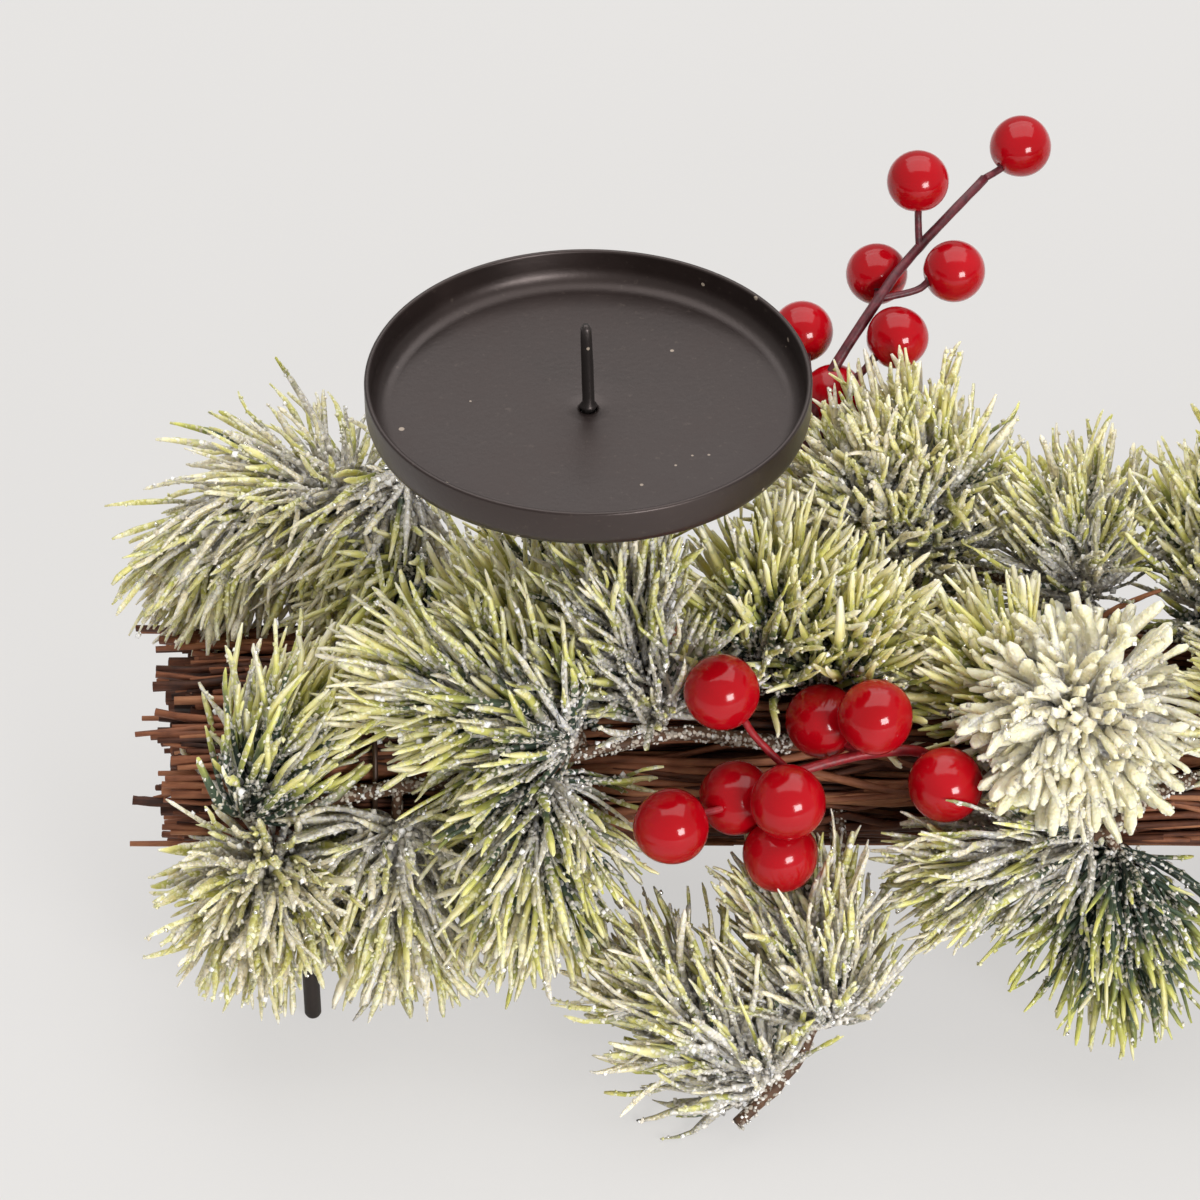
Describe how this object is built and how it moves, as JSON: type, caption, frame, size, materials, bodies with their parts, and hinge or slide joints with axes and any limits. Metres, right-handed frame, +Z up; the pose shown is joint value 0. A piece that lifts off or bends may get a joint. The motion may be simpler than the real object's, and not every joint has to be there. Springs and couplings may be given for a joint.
{
  "type": "candle wreath",
  "caption": "Oblong table wreath: a bundle of twigs on a low black metal stand, with pine sprays, berry picks and raised spiked plates for pillar candles.",
  "frame": {"origin": "on the floor, under the middle of the twig bundle, halfway between the two middle candle plates", "axes": "+X along the bundle to the half that the picture does not show, -Y towards the front of the picture, +Z up"},
  "size_m": [0.6488, 0.1592, 0.1351],
  "materials": {
    "plate_black": "satin warm black, dusty",
    "stand_black": "satin black",
    "twig_brown": "thin natural twigs, reddish bark, dull",
    "wire_brown": "dark brown florist's wire",
    "needle_green": "artificial pine needles, frosted and glittered",
    "berry_red": "high-gloss red"
  },
  "bodies": {
    "root": {"candle_plate_1": "plate_black", "candle_plate_2": "plate_black", "candle_plate_3": "plate_black", "candle_plate_4": "plate_black", "candle_spike_1": "stand_black", "candle_spike_2": "stand_black", "candle_spike_3": "stand_black", "candle_spike_4": "stand_black", "candle_post_1": "stand_black", "candle_post_2": "stand_black", "candle_post_3": "stand_black", "candle_post_4": "stand_black", "stand_rail": "stand_black", "stand_leg_hoop_left": "stand_black", "stand_leg_hoop_right": "stand_black", "twig_strand_1": "twig_brown", "twig_strand_2": "twig_brown", "twig_strand_3": "twig_brown", "twig_strand_4": "twig_brown", "twig_strand_5": "twig_brown", "twig_strand_6": "twig_brown", "binding_wire_1": "wire_brown", "binding_wire_2": "wire_brown", "binding_wire_3": "wire_brown", "pine_spray_1a": "needle_green", "pine_spray_1b": "needle_green", "pine_spray_1c": "needle_green", "pine_spray_1d": "needle_green", "pine_spray_1e": "needle_green", "pine_spray_1f": "needle_green", "pine_spray_1g": "needle_green", "pine_spray_1h": "needle_green", "pine_spray_1i": "needle_green", "pine_spray_1j": "needle_green", "pine_spray_2c": "needle_green", "pine_spray_2d": "needle_green", "pine_spray_2e": "needle_green", "pine_spray_2f": "needle_green", "pine_spray_2g": "needle_green", "pine_spray_3c": "needle_green", "pine_spray_3d": "needle_green", "pine_spray_3e": "needle_green", "pine_spray_3f": "needle_green", "pine_spray_3g": "needle_green", "pine_spray_4a": "needle_green", "pine_spray_4b": "needle_green", "pine_spray_4c": "needle_green", "pine_spray_4d": "needle_green", "pine_spray_4e": "needle_green", "pine_spray_4f": "needle_green", "pine_spray_4g": "needle_green", "pine_spray_4h": "needle_green", "pine_spray_4i": "needle_green", "pine_spray_4j": "needle_green", "berry_pick_1a": "berry_red", "berry_pick_1b": "berry_red", "berry_pick_4a": "berry_red", "berry_pick_4b": "berry_red"}
  },
  "joints": []
}
